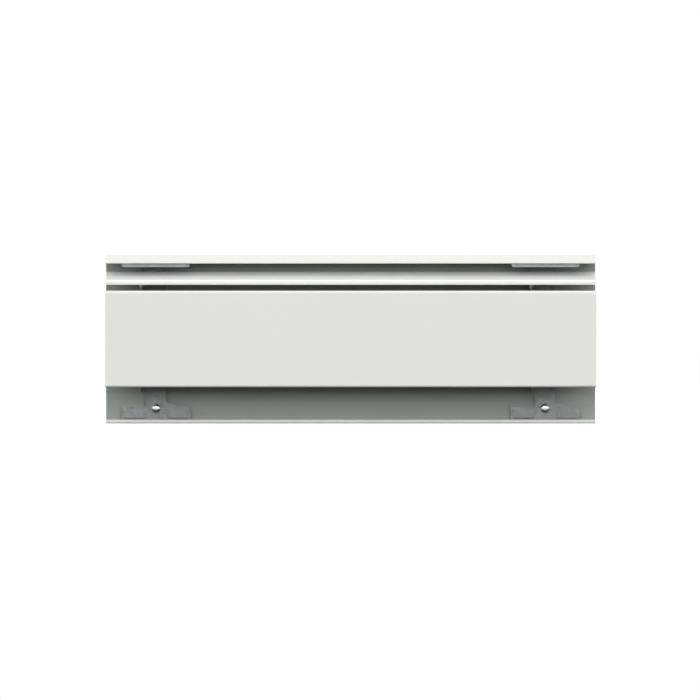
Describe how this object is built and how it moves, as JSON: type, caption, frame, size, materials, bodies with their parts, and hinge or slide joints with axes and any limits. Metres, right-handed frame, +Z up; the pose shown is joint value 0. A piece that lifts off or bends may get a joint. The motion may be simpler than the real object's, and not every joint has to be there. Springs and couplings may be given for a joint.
{
  "type": "hydronic fin-tube baseboard heater",
  "caption": "Wall-hung baseboard heater section: folded painted steel enclosure with a tilting damper, a lift-off front cover and a finned copper element on sliding cradles.",
  "frame": {"origin": "middle of the length and of the depth, at the height of the bottom edge", "axes": "+X along the heater to the right as seen from the room, +Y to the wall, +Z up; the front faces -Y"},
  "size_m": [0.61, 0.07, 0.209],
  "materials": {
    "painted_sheet": "satin off-white baked enamel on steel sheet, grey-green backer coat on the inner face",
    "galvanised_steel": "hot-dip galvanised sheet, small spangle",
    "zinc_plated_steel": "bright zinc plating",
    "spring_steel": "hardened and oiled spring steel",
    "nylon": "natural moulded nylon",
    "cradle_plastic": "black heat-stabilised moulded plastic",
    "copper": "drawn copper, lightly tarnished",
    "fin_aluminium": "bare rolled aluminium sheet"
  },
  "bodies": {
    "enclosure": {"back_panel": "painted_sheet", "left_bracket": "galvanised_steel", "right_bracket": "galvanised_steel", "left_bracket_screw": "zinc_plated_steel", "right_bracket_screw": "zinc_plated_steel", "left_damper_bush": "nylon", "right_damper_bush": "nylon"},
    "damper": {"damper_blade": "painted_sheet", "left_damper_lug": "galvanised_steel", "right_damper_lug": "galvanised_steel", "left_pivot_pin": "zinc_plated_steel", "right_pivot_pin": "zinc_plated_steel", "left_pin_clip": "spring_steel", "right_pin_clip": "spring_steel", "left_friction_washer": "spring_steel", "right_friction_washer": "spring_steel"},
    "cover": {"front_cover": "painted_sheet"},
    "element": {"copper_tube": "copper", "fins": "fin_aluminium", "left_cradle": "cradle_plastic", "right_cradle": "cradle_plastic"}
  },
  "joints": [
    {"name": "damper_tilt", "type": "hinge", "parent": "enclosure", "child": "damper", "pos_m": [0, -0.016, 0.1733], "axis": [1, 0, 0], "range_deg": [0, 42]},
    {"name": "cover_swing", "type": "hinge", "parent": "enclosure", "child": "cover", "pos_m": [0, -0.0275, 0.1613], "axis": [-1, 0, 0], "range_deg": [0, 30]},
    {"name": "element_slide", "type": "slide", "parent": "enclosure", "child": "element", "axis": [1, 0, 0], "range_m": [-0.006, 0.006]}
  ]
}
